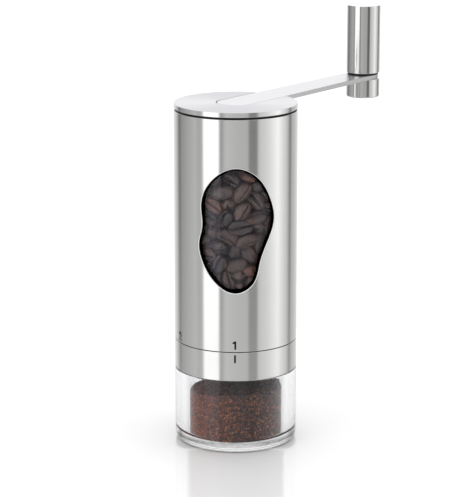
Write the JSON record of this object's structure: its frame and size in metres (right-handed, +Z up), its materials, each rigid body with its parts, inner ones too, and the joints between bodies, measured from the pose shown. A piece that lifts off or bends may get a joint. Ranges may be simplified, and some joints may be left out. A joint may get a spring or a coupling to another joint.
{
  "type": "hand crank coffee grinder",
  "caption": "Slim hand coffee mill: steel body with a bean-shaped window, flush crank lid with a turning knob, grind setting ring and clear jar for the ground coffee.",
  "frame": {"origin": "middle of the jar's underside, on the axis of the shaft", "axes": "+Z up along the shaft; -Y is the front with the window and the index line; the crank arm points 51 degrees from +X towards +Y"},
  "size_m": [0.0964, 0.1109, 0.1838],
  "materials": {
    "clear_acrylic": "clear polished acrylic",
    "smoked_acrylic": "lightly smoked clear acrylic",
    "brushed_sleeve": "fine brushing round the body",
    "brushed_lid": "fine brushing",
    "brushed_arm": "fine brushing along the arm",
    "turned_steel": "turned steel",
    "bright_screw": "bright stainless fastener",
    "black_nylon": "matte glass-filled plastic",
    "black_rubber": "matte rubber",
    "clear_rubber": "translucent silicone",
    "bronze": "sintered bronze",
    "white_slip": "slip plastic",
    "ceramic": "unglazed white ceramic",
    "spring_steel": "oiled spring steel"
  },
  "bodies": {
    "jar": {"jar": "clear_acrylic", "jar_seal": "clear_rubber"},
    "collar": {"collar_ring": "brushed_sleeve", "mill_housing": "black_nylon", "guide_plate": "black_nylon", "guide_pins": "bright_screw", "plate_circlip": "spring_steel"},
    "burr_carrier": {"burr_carrier": "black_nylon", "outer_burr": "ceramic", "burr_clamp_ring": "turned_steel", "clamp_screws": "bright_screw"},
    "hopper": {"body_sleeve": "brushed_sleeve", "window_gasket": "black_rubber", "hopper_tube": "smoked_acrylic", "rim_ring": "black_nylon", "hopper_base": "black_nylon", "shaft_bridge": "black_nylon", "bridge_screws": "bright_screw", "lower_shaft_bush": "bronze", "upper_shaft_bush": "bronze"},
    "shaft": {"drive_shaft": "turned_steel", "drive_pin": "bright_screw", "shaft_clip": "spring_steel", "inner_burr": "ceramic", "wave_washer": "spring_steel", "thrust_washer": "white_slip", "burr_washer": "bright_screw", "burr_nut": "bright_screw"},
    "crank_cap": {"lid_disc": "brushed_lid", "lid_liner": "black_nylon", "lid_screws": "bright_screw", "crank_arm": "brushed_arm", "drive_socket": "turned_steel", "socket_screws": "bright_screw", "knob_boss": "turned_steel", "knob_axle": "turned_steel", "axle_screw": "bright_screw", "knob_washer": "black_rubber", "axle_clip": "spring_steel"},
    "knob": {"knob": "turned_steel", "lower_knob_bush": "bronze", "upper_knob_bush": "bronze"}
  },
  "joints": [
    {"name": "jar_lift", "type": "slide", "parent": "jar", "child": "collar", "axis": [0, 0, 1], "range_m": [0, 0.03]},
    {"name": "burr_feed", "type": "slide", "parent": "collar", "child": "burr_carrier", "axis": [0, 0, 1], "range_m": [0, 0.0011]},
    {"name": "grind_adjust", "type": "hinge", "parent": "collar", "child": "hopper", "pos_m": [0, 0, 0.05], "axis": [0, 0, 1], "range_deg": [0, 260]},
    {"name": "crank_turn", "type": "hinge", "parent": "hopper", "child": "shaft", "pos_m": [0, 0, 0.1], "axis": [0, 0, 1], "continuous": true},
    {"name": "lid_lift", "type": "slide", "parent": "shaft", "child": "crank_cap", "axis": [0, 0, 1], "range_m": [0, 0.03]},
    {"name": "knob_spin", "type": "hinge", "parent": "crank_cap", "child": "knob", "pos_m": [0.06167, 0.07616, 0.168], "axis": [0, 0, 1], "continuous": true}
  ],
  "couplings": [
    {"joint": "burr_feed", "follows": "grind_adjust", "m_per_rad": 0.00023873}
  ]
}
